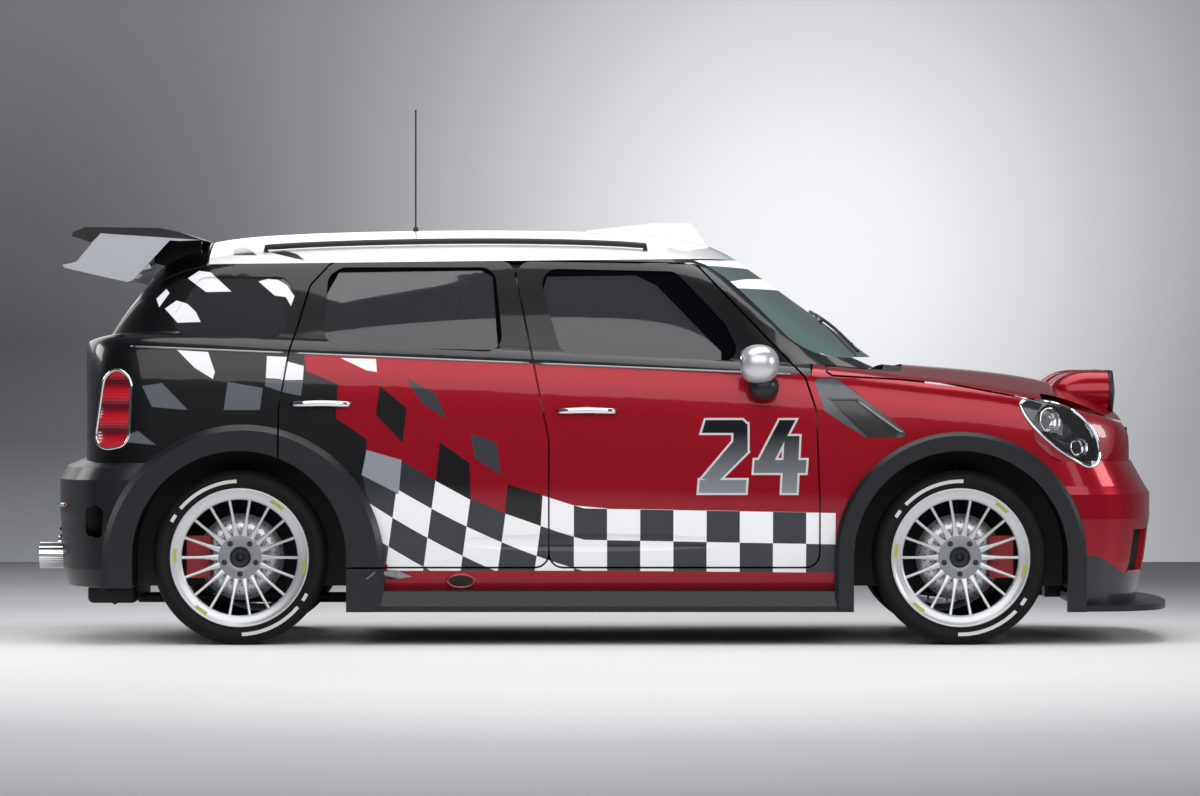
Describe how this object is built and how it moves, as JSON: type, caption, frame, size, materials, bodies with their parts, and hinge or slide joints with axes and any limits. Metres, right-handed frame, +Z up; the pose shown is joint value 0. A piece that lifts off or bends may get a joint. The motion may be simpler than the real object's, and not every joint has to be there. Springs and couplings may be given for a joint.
{
  "type": "rally car",
  "caption": "Five-door hatchback rally car with arch flares, a tall rear wing, a roof vent and bonnet lamps on tarmac wheels.",
  "frame": {"origin": "on the ground, midway between the foremost and rearmost points, on the car's middle line", "axes": "+X forward along the car, +Y to the car's left, +Z up"},
  "size_m": [4.139, 2.1268, 1.956],
  "materials": {
    "black_plastic": "matte",
    "dark_plastic": "satin",
    "red_paint": "gloss",
    "cast_metal": "cast",
    "exhaust_steel": "polished",
    "glass": "tinted",
    "floor_paint": "satin",
    "suspension_steel": "satin",
    "lamp_glass": "clear",
    "knuckle_metal": "painted",
    "mirror_paint": "gloss",
    "wing_paint": "gloss",
    "wheel_metal": "satin",
    "cage_paint": "satin",
    "white_paint": "gloss",
    "seat_fabric": "woven",
    "body_paint": "gloss",
    "red_lens": "gloss",
    "tyre_rubber": "matte"
  },
  "bodies": {
    "chassis": {"antenna": "black_plastic", "arch_trims": "dark_plastic", "bulkhead": "black_plastic", "dashboard": "black_plastic", "engine_block": "cast_metal", "exhaust": "exhaust_steel", "fender_vents": "dark_plastic", "fixed_glass": "glass", "floor_pan": "floor_paint", "front_bumper": "red_paint", "front_fenders": "red_paint", "front_grille": "black_plastic", "front_splitter": "dark_plastic", "front_suspension": "suspension_steel", "headlamps": "lamp_glass", "knuckle_rear_left": "knuckle_metal", "knuckle_rear_right": "knuckle_metal", "rear_bumper": "dark_plastic", "rear_suspension": "suspension_steel", "roll_cage": "cage_paint", "roof_panel": "white_paint", "roof_rails": "black_plastic", "roof_vent": "white_paint", "seats": "seat_fabric", "side_frame_left": "body_paint", "side_frame_right": "body_paint", "tail_lamps": "red_lens", "wheel_houses": "black_plastic"},
    "steer_front_left": {"knuckle_front_left": "knuckle_metal"},
    "steer_front_right": {"knuckle_front_right": "knuckle_metal"},
    "wheel_front_left": {"tyre_front_left": "tyre_rubber", "rim_front_left": "wheel_metal"},
    "wheel_front_right": {"tyre_front_right": "tyre_rubber", "rim_front_right": "wheel_metal"},
    "wheel_rear_left": {"tyre_rear_left": "tyre_rubber", "rim_rear_left": "wheel_metal"},
    "wheel_rear_right": {"tyre_rear_right": "tyre_rubber", "rim_rear_right": "wheel_metal"},
    "steering": {"steering_wheel": "black_plastic"},
    "front_door_left": {"door_front_left": "red_paint", "window_front_left": "glass", "mirror_left": "mirror_paint"},
    "front_door_right": {"door_front_right": "red_paint", "window_front_right": "glass", "mirror_right": "mirror_paint"},
    "rear_door_left": {"door_rear_left": "red_paint", "window_rear_left": "glass"},
    "rear_door_right": {"door_rear_right": "red_paint", "window_rear_right": "glass"},
    "bonnet_lid": {"bonnet": "red_paint", "lamp_pods": "red_paint"},
    "tailgate_lid": {"tailgate": "red_paint", "rear_window": "glass", "rear_wing": "wing_paint"}
  },
  "joints": [
    {"name": "steer_left", "type": "hinge", "parent": "chassis", "child": "steer_front_left", "pos_m": [1.2775, 0.689, 0.184], "axis": [0, -0.2425, 0.9701], "range_deg": [-30, 30]},
    {"name": "spin_front_left", "type": "hinge", "parent": "steer_front_left", "child": "wheel_front_left", "pos_m": [1.2775, 0.777, 0.314], "axis": [0, 1, 0], "continuous": true},
    {"name": "spin_rear_left", "type": "hinge", "parent": "chassis", "child": "wheel_rear_left", "pos_m": [-1.3175, 0.777, 0.314], "axis": [0, 1, 0], "continuous": true},
    {"name": "open_front_door_left", "type": "hinge", "parent": "chassis", "child": "front_door_left", "pos_m": [0.77148, 0.882, 0.6], "axis": [0, 0, -1], "range_deg": [0, 65]},
    {"name": "open_rear_door_left", "type": "hinge", "parent": "chassis", "child": "rear_door_left", "pos_m": [-0.20425, 0.882, 0.6], "axis": [0, 0, -1], "range_deg": [0, 65]},
    {"name": "steer_right", "type": "hinge", "parent": "chassis", "child": "steer_front_right", "pos_m": [1.2775, -0.689, 0.184], "axis": [0, 0.2425, 0.9701], "range_deg": [-30, 30]},
    {"name": "spin_front_right", "type": "hinge", "parent": "steer_front_right", "child": "wheel_front_right", "pos_m": [1.2775, -0.777, 0.314], "axis": [0, 1, 0], "continuous": true},
    {"name": "spin_rear_right", "type": "hinge", "parent": "chassis", "child": "wheel_rear_right", "pos_m": [-1.3175, -0.777, 0.314], "axis": [0, 1, 0], "continuous": true},
    {"name": "open_front_door_right", "type": "hinge", "parent": "chassis", "child": "front_door_right", "pos_m": [0.77148, -0.882, 0.6], "axis": [0, 0, 1], "range_deg": [0, 65]},
    {"name": "open_rear_door_right", "type": "hinge", "parent": "chassis", "child": "rear_door_right", "pos_m": [-0.20425, -0.882, 0.6], "axis": [0, 0, 1], "range_deg": [0, 65]},
    {"name": "turn_steering_wheel", "type": "hinge", "parent": "chassis", "child": "steering", "pos_m": [0.26545, 0.3654, 0.885], "axis": [0.9061, 0, -0.4231], "range_deg": [-360, 360]},
    {"name": "open_bonnet", "type": "hinge", "parent": "chassis", "child": "bonnet_lid", "pos_m": [0.78964, 0, 0.995], "axis": [0, -1, 0], "range_deg": [0, 45]},
    {"name": "open_tailgate", "type": "hinge", "parent": "chassis", "child": "tailgate_lid", "pos_m": [-1.44725, 0, 1.472], "axis": [0, 1, 0], "range_deg": [0, 70]}
  ],
  "couplings": [
    {"joint": "steer_right", "follows": "steer_left", "ratio": 1},
    {"joint": "turn_steering_wheel", "follows": "steer_left", "ratio": -12}
  ]
}
